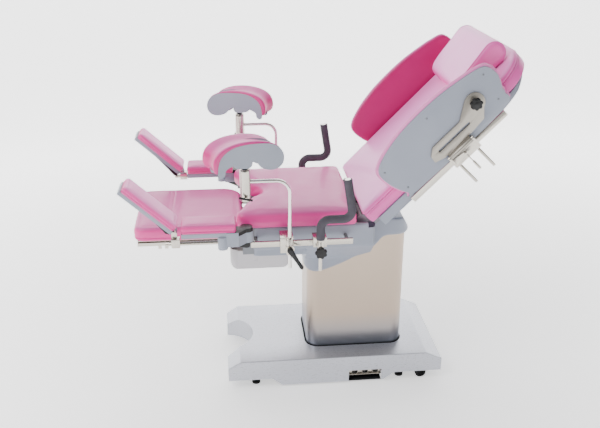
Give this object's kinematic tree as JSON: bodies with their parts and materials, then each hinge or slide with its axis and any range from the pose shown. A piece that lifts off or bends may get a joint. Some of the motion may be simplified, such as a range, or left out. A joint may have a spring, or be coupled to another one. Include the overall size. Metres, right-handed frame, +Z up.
{
  "type": "gynecological operating table",
  "caption": "Gynecological operating table with a lifting column, hinged back with side wings, leg and foot supports, knee crutches, hand grips, a pull-out table and a basin.",
  "frame": {"origin": "centre of the lifting column on the floor", "axes": "+X to the head end, +Y to the far side, +Z up"},
  "size_m": [1.6356, 0.9985, 1.5312],
  "materials": {
    "base_sheet": "satin",
    "satin_steel": "brushed",
    "dark_steel": "matte",
    "frame_paint": "satin",
    "rail_steel": "polished",
    "cover_plastic": "satin",
    "pink_vinyl": "satin",
    "basin_plastic": "satin",
    "black_plastic": "satin",
    "dark_plastic": "satin",
    "grip_foam": "matte",
    "rubber": "matte",
    "tyre": "matte"
  },
  "bodies": {
    "base": {"base_cover": "base_sheet", "base_frame": "dark_steel", "inner_column": "satin_steel", "column_gasket": "rubber", "lift_actuator": "dark_steel", "socket_panel": "dark_plastic", "levelling_feet": "rubber"},
    "wheels": {"wheel_set": "tyre"},
    "top": {"column_shroud": "satin_steel", "table_frame": "frame_paint", "hull_cover": "cover_plastic", "seat_cushion": "pink_vinyl", "seat_rails": "rail_steel", "lift_rod": "rail_steel", "back_gearmotor": "dark_steel", "grip_clamps": "rail_steel"},
    "back": {"back_frame": "frame_paint", "back_shell": "cover_plastic", "back_cushion": "pink_vinyl", "head_pillow": "pink_vinyl", "back_rails": "rail_steel"},
    "pull_out_table": {"aux_table": "frame_paint", "aux_cushions": "pink_vinyl"},
    "basin": {"basin": "basin_plastic"},
    "wing_clamp_near": {"wing_clamp_near": "rail_steel"},
    "wing_near": {"wing_bracket_near": "rail_steel", "wing_panel_near": "cover_plastic", "wing_pad_near": "pink_vinyl"},
    "wing_knob_near": {"wing_knob_near": "black_plastic"},
    "leg_near": {"leg_arm_near": "cover_plastic", "leg_cushion_near": "pink_vinyl"},
    "leg_lever_near": {"leg_lever_near": "black_plastic"},
    "foot_bar_near": {"foot_bar_near": "rail_steel"},
    "foot_pad_near": {"foot_shell_near": "cover_plastic", "foot_cushion_near": "pink_vinyl"},
    "holder_clamp_near": {"holder_clamp_near": "rail_steel"},
    "holder_lever_near": {"holder_lever_near": "black_plastic"},
    "holder_rod_near": {"holder_rod_near": "rail_steel"},
    "crutch_near": {"crutch_shell_near": "cover_plastic", "crutch_cushion_near": "pink_vinyl"},
    "grip_near": {"grip_near": "grip_foam"},
    "grip_knob_near": {"grip_knob_near": "black_plastic"},
    "wing_clamp_far": {"wing_clamp_far": "rail_steel"},
    "wing_far": {"wing_bracket_far": "rail_steel", "wing_panel_far": "cover_plastic", "wing_pad_far": "pink_vinyl"},
    "wing_knob_far": {"wing_knob_far": "black_plastic"},
    "leg_far": {"leg_arm_far": "cover_plastic", "leg_cushion_far": "pink_vinyl"},
    "leg_lever_far": {"leg_lever_far": "black_plastic"},
    "foot_bar_far": {"foot_bar_far": "rail_steel"},
    "foot_pad_far": {"foot_shell_far": "cover_plastic", "foot_cushion_far": "pink_vinyl"},
    "holder_clamp_far": {"holder_clamp_far": "rail_steel"},
    "holder_lever_far": {"holder_lever_far": "black_plastic"},
    "holder_rod_far": {"holder_rod_far": "rail_steel"},
    "crutch_far": {"crutch_shell_far": "cover_plastic", "crutch_cushion_far": "pink_vinyl"},
    "grip_far": {"grip_far": "grip_foam"},
    "grip_knob_far": {"grip_knob_far": "black_plastic"}
  },
  "joints": [
    {"name": "wheel_spin", "type": "hinge", "parent": "base", "child": "wheels", "pos_m": [0.305, 0, 0.027], "axis": [0, 1, 0], "continuous": true},
    {"name": "lift", "type": "slide", "parent": "base", "child": "top", "axis": [0, 0, 1], "range_m": [-0.09, 0.16]},
    {"name": "back_tilt", "type": "hinge", "parent": "top", "child": "back", "pos_m": [0.012, 0, 0.801], "axis": [0, -1, 0], "range_deg": [-45.5, 12]},
    {"name": "table_slide", "type": "slide", "parent": "top", "child": "pull_out_table", "axis": [1, 0, 0], "range_m": [0, 0.3]},
    {"name": "basin_slide", "type": "slide", "parent": "top", "child": "basin", "axis": [1, 0, 0], "range_m": [-0.15, 0.03]},
    {"name": "wing_slide_near", "type": "slide", "parent": "back", "child": "wing_clamp_near", "axis": [0.7009, 0, 0.7133], "range_m": [-0.1, 0.09]},
    {"name": "wing_fold_near", "type": "hinge", "parent": "wing_clamp_near", "child": "wing_near", "pos_m": [0.37529, -0.351, 1.14501], "axis": [0.7009, 0, 0.7133], "range_deg": [0, 90]},
    {"name": "wing_knob_turn_near", "type": "hinge", "parent": "wing_near", "child": "wing_knob_near", "pos_m": [0.41689, -0.356, 1.32145], "axis": [0, 1, 0], "range_deg": [-180, 180]},
    {"name": "leg_swing_near", "type": "hinge", "parent": "top", "child": "leg_near", "pos_m": [-0.48, -0.338, 0.795], "axis": [0, 0, 1], "range_deg": [0, 60]},
    {"name": "leg_lever_turn_near", "type": "hinge", "parent": "leg_near", "child": "leg_lever_near", "pos_m": [-0.48, -0.338, 0.771], "axis": [0, 0, 1], "range_deg": [-35, 20]},
    {"name": "foot_bar_slide_near", "type": "slide", "parent": "leg_near", "child": "foot_bar_near", "axis": [-1, 0, 0], "range_m": [0, 0.05]},
    {"name": "foot_pad_tilt_near", "type": "hinge", "parent": "foot_bar_near", "child": "foot_pad_near", "pos_m": [-0.764, -0.36, 0.836], "axis": [0, 1, 0], "range_deg": [-43, 8]},
    {"name": "holder_slide_near", "type": "slide", "parent": "top", "child": "holder_clamp_near", "axis": [1, 0, 0], "range_m": [-0.075, 0.02]},
    {"name": "holder_height_near", "type": "slide", "parent": "holder_clamp_near", "child": "holder_rod_near", "axis": [0, 0, 1], "range_m": [-0.08, 0.05]},
    {"name": "holder_lever_turn_near", "type": "hinge", "parent": "holder_clamp_near", "child": "holder_lever_near", "pos_m": [-0.309, -0.41, 0.757], "axis": [0, 1, 0], "range_deg": [-20, 60]},
    {"name": "crutch_turn_near", "type": "hinge", "parent": "holder_rod_near", "child": "crutch_near", "pos_m": [-0.48, -0.388, 1.07], "axis": [0, 0, -1], "range_deg": [-60, 60]},
    {"name": "grip_turn_near", "type": "hinge", "parent": "top", "child": "grip_near", "pos_m": [-0.184, -0.381, 0.75], "axis": [0, 0, -1], "range_deg": [0, 90]},
    {"name": "grip_knob_turn_near", "type": "hinge", "parent": "top", "child": "grip_knob_near", "pos_m": [-0.184, -0.4, 0.737], "axis": [0, 1, 0], "range_deg": [-180, 180]},
    {"name": "wing_slide_far", "type": "slide", "parent": "back", "child": "wing_clamp_far", "axis": [0.7009, 0, 0.7133], "range_m": [-0.1, 0.09]},
    {"name": "wing_fold_far", "type": "hinge", "parent": "wing_clamp_far", "child": "wing_far", "pos_m": [0.37529, 0.351, 1.14501], "axis": [-0.7009, 0, -0.7133], "range_deg": [0, 90]},
    {"name": "wing_knob_turn_far", "type": "hinge", "parent": "wing_far", "child": "wing_knob_far", "pos_m": [0.41689, 0.356, 1.32145], "axis": [0, 1, 0], "range_deg": [-180, 180]},
    {"name": "leg_swing_far", "type": "hinge", "parent": "top", "child": "leg_far", "pos_m": [-0.48, 0.338, 0.795], "axis": [0, 0, -1], "range_deg": [0, 60]},
    {"name": "leg_lever_turn_far", "type": "hinge", "parent": "leg_far", "child": "leg_lever_far", "pos_m": [-0.48, 0.338, 0.771], "axis": [0, 0, -1], "range_deg": [-35, 20]},
    {"name": "foot_bar_slide_far", "type": "slide", "parent": "leg_far", "child": "foot_bar_far", "axis": [-1, 0, 0], "range_m": [0, 0.05]},
    {"name": "foot_pad_tilt_far", "type": "hinge", "parent": "foot_bar_far", "child": "foot_pad_far", "pos_m": [-0.764, 0.36, 0.836], "axis": [0, 1, 0], "range_deg": [-43, 8]},
    {"name": "holder_slide_far", "type": "slide", "parent": "top", "child": "holder_clamp_far", "axis": [1, 0, 0], "range_m": [-0.075, 0.02]},
    {"name": "holder_height_far", "type": "slide", "parent": "holder_clamp_far", "child": "holder_rod_far", "axis": [0, 0, 1], "range_m": [-0.08, 0.05]},
    {"name": "holder_lever_turn_far", "type": "hinge", "parent": "holder_clamp_far", "child": "holder_lever_far", "pos_m": [-0.309, 0.41, 0.757], "axis": [0, 1, 0], "range_deg": [-20, 60]},
    {"name": "crutch_turn_far", "type": "hinge", "parent": "holder_rod_far", "child": "crutch_far", "pos_m": [-0.48, 0.388, 1.07], "axis": [0, 0, 1], "range_deg": [-60, 60]},
    {"name": "grip_turn_far", "type": "hinge", "parent": "top", "child": "grip_far", "pos_m": [-0.184, 0.381, 0.75], "axis": [0, 0, 1], "range_deg": [0, 90]},
    {"name": "grip_knob_turn_far", "type": "hinge", "parent": "top", "child": "grip_knob_far", "pos_m": [-0.184, 0.4, 0.737], "axis": [0, 1, 0], "range_deg": [-180, 180]}
  ]
}
